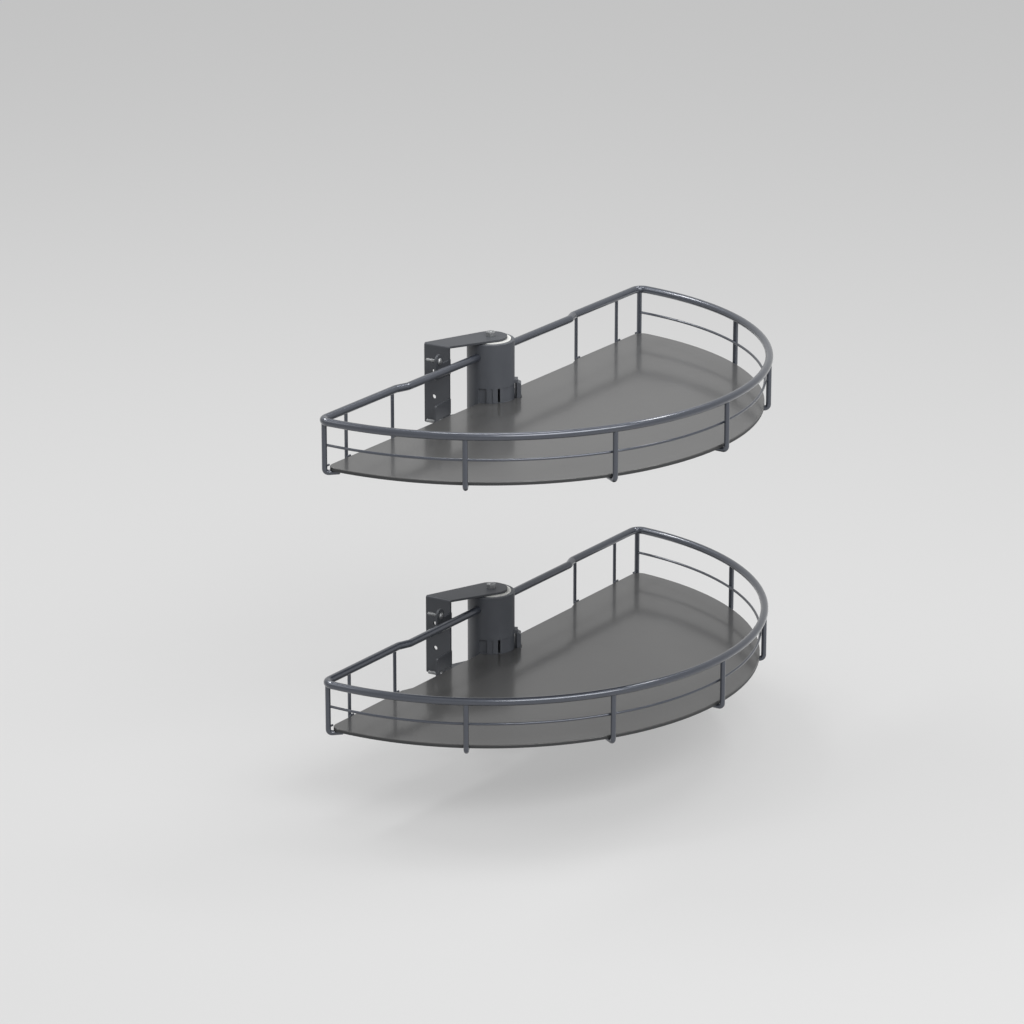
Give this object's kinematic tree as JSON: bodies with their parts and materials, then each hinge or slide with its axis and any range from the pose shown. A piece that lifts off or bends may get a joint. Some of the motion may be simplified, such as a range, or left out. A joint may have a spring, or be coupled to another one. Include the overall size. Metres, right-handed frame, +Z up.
{
  "type": "half-moon corner carousel",
  "caption": "Half-moon trays with a low wire rail, each on a hub that swings out of a blind corner cabinet on a post bracket.",
  "frame": {"origin": "middle of the lower bracket's rear plate, on the face that lies against the post", "axes": "+X to the cabinet's right, +Y to its back, +Z up; the trays stand swung out, their arcs towards +X"},
  "size_m": [0.3745, 0.6483, 0.4108],
  "materials": {
    "bracket_steel": "satin anthracite powder coat",
    "rail_coat": "semi-gloss anthracite powder coat",
    "hub_plastic": "fine-grained moulded plastic",
    "tray_laminate": "semi-gloss grey laminate on thin board",
    "nylon": "natural nylon",
    "zinc_steel": "bright zinc plate"
  },
  "bodies": {
    "brackets": {"lower_bracket": "bracket_steel", "lower_bracket_screws": "zinc_steel", "lower_pivot_bolt": "zinc_steel", "lower_pivot_nut": "zinc_steel", "lower_pivot_sleeve": "zinc_steel", "upper_bracket": "bracket_steel", "upper_bracket_screws": "zinc_steel", "upper_pivot_bolt": "zinc_steel", "upper_pivot_nut": "zinc_steel", "upper_pivot_sleeve": "zinc_steel"},
    "lower_carousel": {"lower_top_washer": "nylon", "lower_bottom_washer": "nylon", "lower_top_bush": "nylon", "lower_bottom_bush": "nylon", "lower_hub": "hub_plastic", "lower_hub_clip": "hub_plastic", "lower_tray": "tray_laminate", "lower_tray_support": "bracket_steel", "lower_support_screws": "zinc_steel", "lower_top_rail": "rail_coat", "lower_mid_rail": "rail_coat", "lower_rail_hooks": "rail_coat", "lower_chord_uprights": "rail_coat"},
    "upper_carousel": {"upper_top_washer": "nylon", "upper_bottom_washer": "nylon", "upper_top_bush": "nylon", "upper_bottom_bush": "nylon", "upper_hub": "hub_plastic", "upper_hub_clip": "hub_plastic", "upper_tray": "tray_laminate", "upper_tray_support": "bracket_steel", "upper_support_screws": "zinc_steel", "upper_top_rail": "rail_coat", "upper_mid_rail": "rail_coat", "upper_rail_hooks": "rail_coat", "upper_chord_uprights": "rail_coat"}
  },
  "joints": [
    {"name": "lower_swing", "type": "hinge", "parent": "brackets", "child": "lower_carousel", "pos_m": [0.035, 0.062, 0], "axis": [0, 0, 1], "range_deg": [0, 94.4]},
    {"name": "upper_swing", "type": "hinge", "parent": "brackets", "child": "upper_carousel", "pos_m": [0.035, 0.062, 0.306], "axis": [0, 0, 1], "range_deg": [0, 94.4]}
  ]
}
